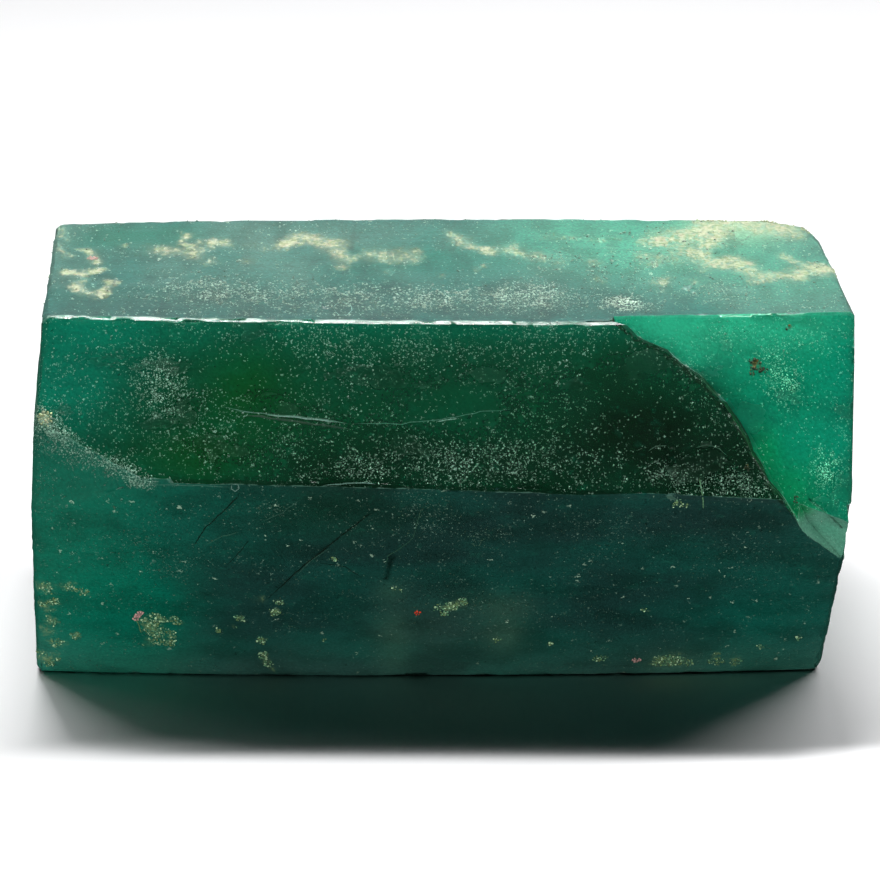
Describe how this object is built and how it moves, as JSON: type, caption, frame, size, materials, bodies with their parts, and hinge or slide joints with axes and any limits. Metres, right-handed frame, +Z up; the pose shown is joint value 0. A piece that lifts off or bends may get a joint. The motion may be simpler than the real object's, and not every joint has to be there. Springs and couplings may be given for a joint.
{
  "type": "raw emerald crystal",
  "caption": "Natural hexagonal emerald prism with a fractured corner, growth ledges, worn ends and chipped edges, a display specimen that lies on one of its prism faces.",
  "frame": {"origin": "centre of the crystal's outline at the level of the surface that it rests on", "axes": "+X along the crystal's length, -Y towards the side with the fracture, +Z up"},
  "size_m": [0.0486, 0.031, 0.0239],
  "materials": {
    "emerald": "glossy, cloudy and translucent green beryl"
  },
  "bodies": {
    "root": {"emerald_crystal": "emerald"}
  },
  "joints": []
}
